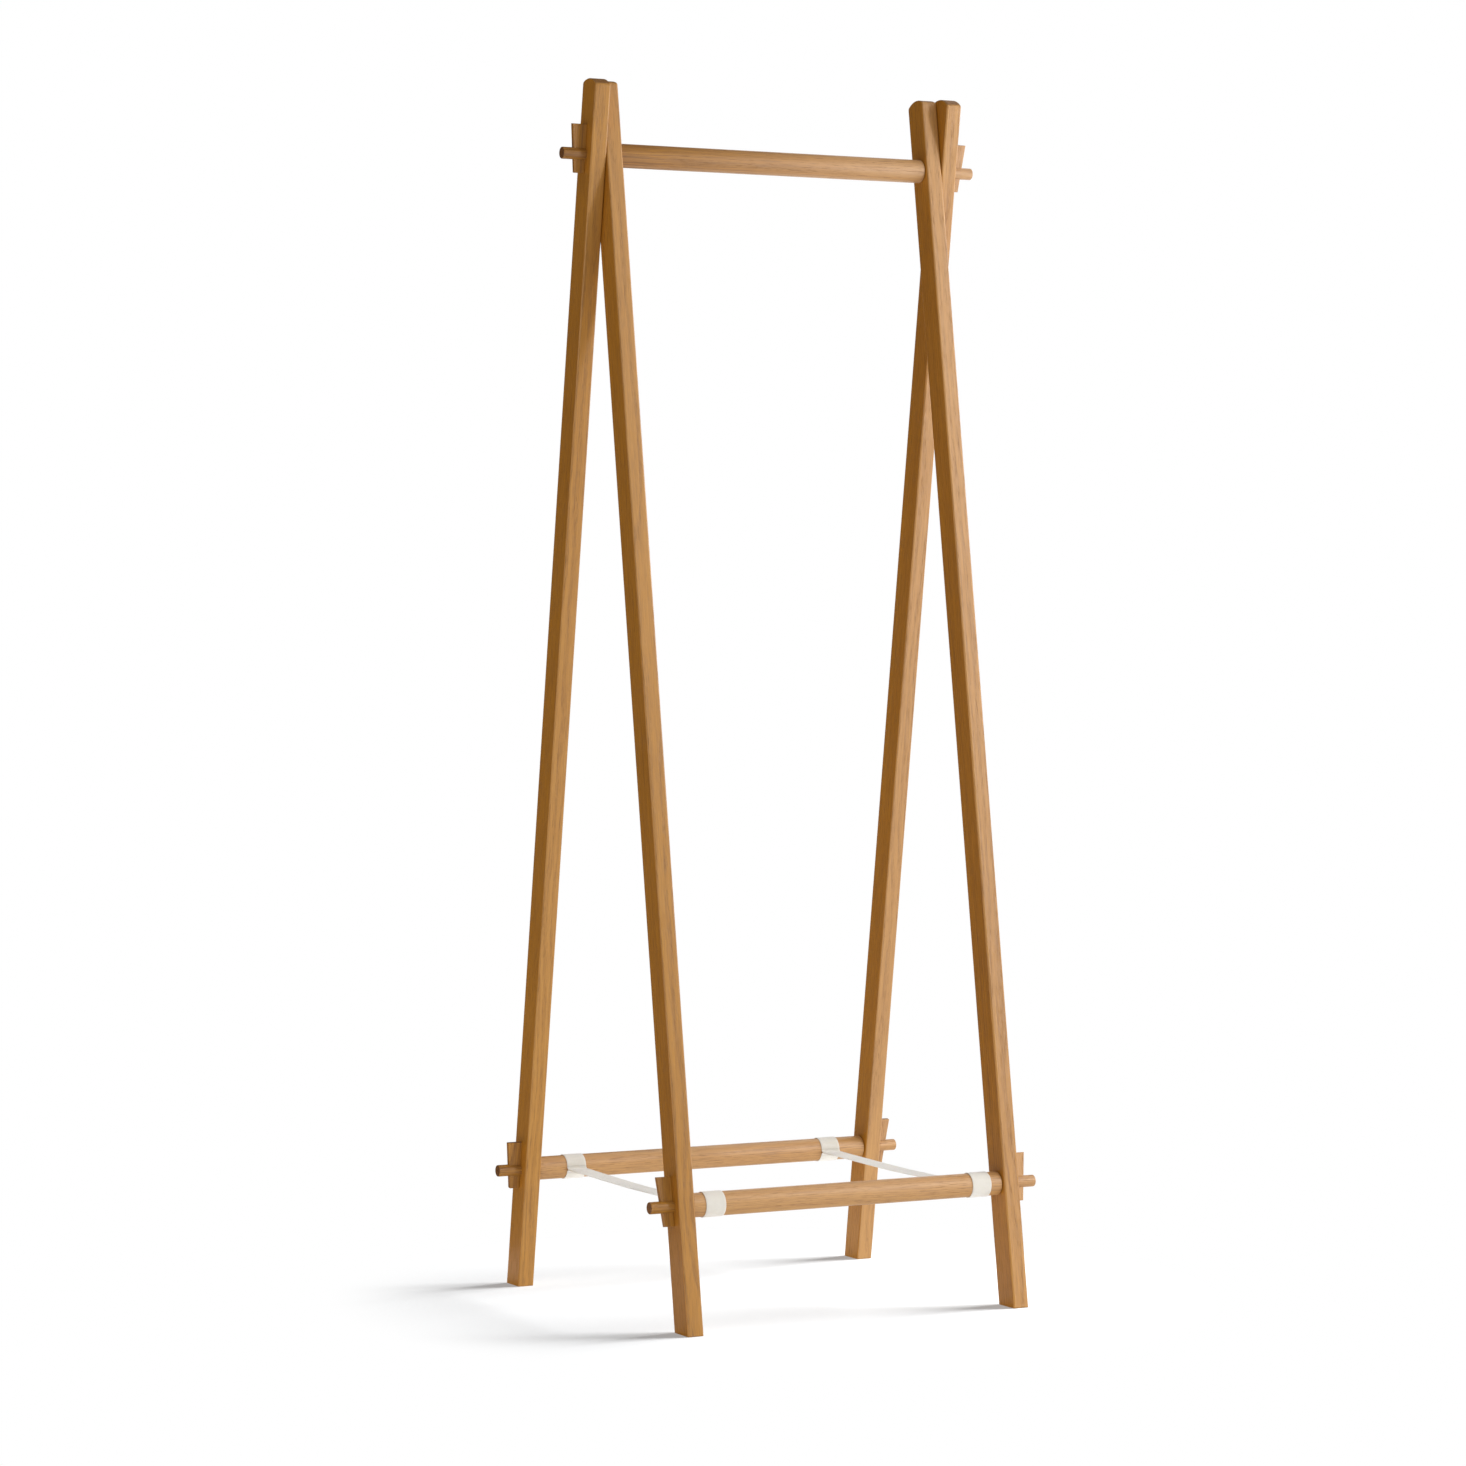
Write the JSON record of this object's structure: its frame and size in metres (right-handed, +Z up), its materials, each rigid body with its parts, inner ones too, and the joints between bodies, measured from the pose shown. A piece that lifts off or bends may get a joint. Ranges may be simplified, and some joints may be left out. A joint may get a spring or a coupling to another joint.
{
  "type": "folding clothes rack",
  "caption": "Folding A-frame clothes rack in oak: leg frames cross on a round hanging rail, tenons are held by loose wedges, and straps tie the stretchers.",
  "frame": {"origin": "on the floor, midway between the feet and straight below the hanging rail", "axes": "+X along the rails to the right, +Y to the back, +Z up"},
  "size_m": [0.632, 0.517, 1.6522],
  "materials": {
    "oak": "oiled",
    "strap": "matte"
  },
  "bodies": {
    "outer_frame": {"outer_leg_left": "oak", "outer_leg_right": "oak", "hanging_rail": "oak", "back_stretcher": "oak", "strap_left": "strap", "strap_right": "strap"},
    "inner_frame": {"inner_leg_left": "oak", "inner_leg_right": "oak", "front_stretcher": "oak"},
    "top_wedge_left": {"top_wedge_left": "oak"},
    "top_wedge_right": {"top_wedge_right": "oak"},
    "back_wedge_left": {"back_wedge_left": "oak"},
    "back_wedge_right": {"back_wedge_right": "oak"},
    "front_wedge_left": {"front_wedge_left": "oak"},
    "front_wedge_right": {"front_wedge_right": "oak"}
  },
  "joints": [
    {"name": "fold", "type": "hinge", "parent": "outer_frame", "child": "inner_frame", "pos_m": [0, 0, 1.5525], "axis": [1, 0, 0], "range_deg": [0, 15.9], "deforming": ["strap_left", "strap_right"]},
    {"name": "top_wedge_left_slide", "type": "slide", "parent": "outer_frame", "child": "top_wedge_left", "axis": [0, -0.1518, 0.9884], "range_m": [0, 0.03]},
    {"name": "top_wedge_right_slide", "type": "slide", "parent": "outer_frame", "child": "top_wedge_right", "axis": [0, -0.1518, 0.9884], "range_m": [0, 0.03]},
    {"name": "back_wedge_left_slide", "type": "slide", "parent": "outer_frame", "child": "back_wedge_left", "axis": [0, -0.1518, 0.9884], "range_m": [0, 0.03]},
    {"name": "back_wedge_right_slide", "type": "slide", "parent": "outer_frame", "child": "back_wedge_right", "axis": [0, -0.1518, 0.9884], "range_m": [0, 0.03]},
    {"name": "front_wedge_left_slide", "type": "slide", "parent": "inner_frame", "child": "front_wedge_left", "axis": [0, 0.1518, 0.9884], "range_m": [0, 0.03]},
    {"name": "front_wedge_right_slide", "type": "slide", "parent": "inner_frame", "child": "front_wedge_right", "axis": [0, 0.1518, 0.9884], "range_m": [0, 0.03]}
  ]
}
